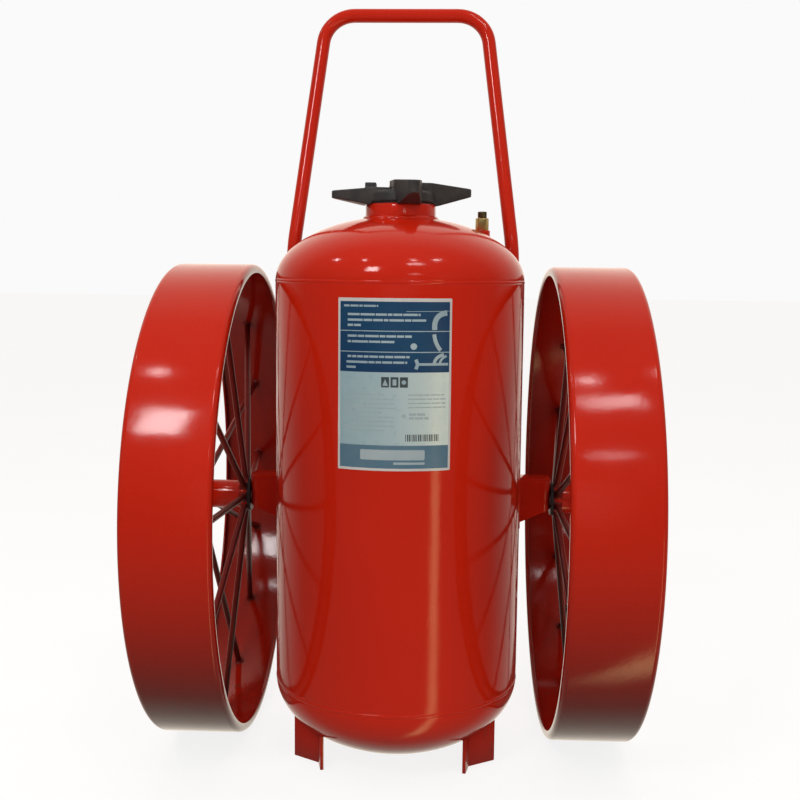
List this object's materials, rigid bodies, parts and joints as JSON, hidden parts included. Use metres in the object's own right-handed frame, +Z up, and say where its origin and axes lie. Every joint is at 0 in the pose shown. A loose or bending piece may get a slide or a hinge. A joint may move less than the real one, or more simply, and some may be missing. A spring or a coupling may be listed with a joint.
{
  "type": "wheeled fire extinguisher",
  "caption": "Red dry-powder pressure tank with wing fill cap on two large spoked steel wheels, tubular push handle, front feet and a rear gas cylinder with valve and gauge.",
  "frame": {"origin": "on the floor, midway between the wheels and straight below the axles", "axes": "+Z up, -Y to the front that shows the nameplate, +X to the right as seen from the front"},
  "size_m": [0.874, 0.9144, 1.4193],
  "materials": {
    "red_paint": "gloss",
    "zinc_steel": "satin",
    "black_washer": "matte",
    "bronze_bush": "satin",
    "black_cap": "satin",
    "rubber_seal": "matte",
    "powder_agent": "matte",
    "brass_fitting": "satin",
    "dark_fitting": "satin",
    "nameplate_foil": "satin",
    "handwheel_paint": "satin",
    "gauge_white": "satin",
    "pointer_black": "satin",
    "gauge_glass": "gloss"
  },
  "bodies": {
    "tank_body": {"agent_charge": "powder_agent", "bottom_head": "red_paint", "bottom_seam_weld": "red_paint", "clamp_bolts": "zinc_steel", "clamp_nuts": "zinc_steel", "clamp_saddle": "red_paint", "clamp_strap": "red_paint", "cylinder_cradle": "red_paint", "cylinder_valve": "brass_fitting", "fill_neck": "red_paint", "gas_inlet_boss": "red_paint", "gas_line": "zinc_steel", "gas_tube": "zinc_steel", "gauge_case": "zinc_steel", "gauge_dial": "gauge_white", "gauge_lens": "gauge_glass", "handle": "red_paint", "handle_saddles": "red_paint", "left_axle": "zinc_steel", "left_axle_bracket": "red_paint", "left_cotter_pin": "zinc_steel", "left_foot": "red_paint", "left_inner_washer": "black_washer", "left_outer_washer": "zinc_steel", "nameplate": "nameplate_foil", "nitrogen_cylinder": "red_paint", "outlet_boss": "red_paint", "outlet_nipple": "brass_fitting", "pickup_tube": "zinc_steel", "regulator_body": "brass_fitting", "regulator_bonnet": "zinc_steel", "relief_boss": "red_paint", "relief_valve_body": "brass_fitting", "relief_valve_cap": "dark_fitting", "right_axle": "zinc_steel", "right_axle_bracket": "red_paint", "right_cotter_pin": "zinc_steel", "right_foot": "red_paint", "right_inner_washer": "black_washer", "right_outer_washer": "zinc_steel", "tank_shell": "red_paint", "top_head": "red_paint", "top_seam_weld": "red_paint"},
    "left_wheel": {"left_rim": "red_paint", "left_rim_lips": "red_paint", "left_hub": "red_paint", "left_hub_bushes": "bronze_bush", "left_inner_spokes": "red_paint", "left_outer_spokes": "red_paint"},
    "right_wheel": {"right_rim": "red_paint", "right_rim_lips": "red_paint", "right_hub": "red_paint", "right_hub_bushes": "bronze_bush", "right_inner_spokes": "red_paint", "right_outer_spokes": "red_paint"},
    "cap_seal": {"cap_gasket": "rubber_seal"},
    "cap": {"fill_cap": "black_cap"},
    "valve_wheel": {"valve_handwheel": "handwheel_paint", "valve_spindle": "zinc_steel"},
    "gauge_needle": {"gauge_pointer": "pointer_black"}
  },
  "joints": [
    {"name": "left_wheel_spin", "type": "hinge", "parent": "tank_body", "child": "left_wheel", "pos_m": [-0.3574, 0, 0.4572], "axis": [1, 0, 0], "continuous": true},
    {"name": "right_wheel_spin", "type": "hinge", "parent": "tank_body", "child": "right_wheel", "pos_m": [0.3574, 0, 0.4572], "axis": [1, 0, 0], "continuous": true},
    {"name": "cap_lift", "type": "slide", "parent": "tank_body", "child": "cap_seal", "axis": [0, 0, 1], "range_m": [0, 0.0161]},
    {"name": "cap_turn", "type": "hinge", "parent": "cap_seal", "child": "cap", "pos_m": [0, -0.12, 1.03], "axis": [0, 0, 1], "range_deg": [0, 720]},
    {"name": "cylinder_valve_turn", "type": "hinge", "parent": "tank_body", "child": "valve_wheel", "pos_m": [0, 0.198, 0.918], "axis": [0, 0, 1], "range_deg": [0, 540]},
    {"name": "gauge_needle_turn", "type": "hinge", "parent": "tank_body", "child": "gauge_needle", "pos_m": [0.074, 0.2045, 0.94], "axis": [0, 1, 0], "range_deg": [0, 250]}
  ],
  "couplings": [
    {"joint": "cap_lift", "follows": "cap_turn", "m_per_rad": 0.0012732}
  ]
}
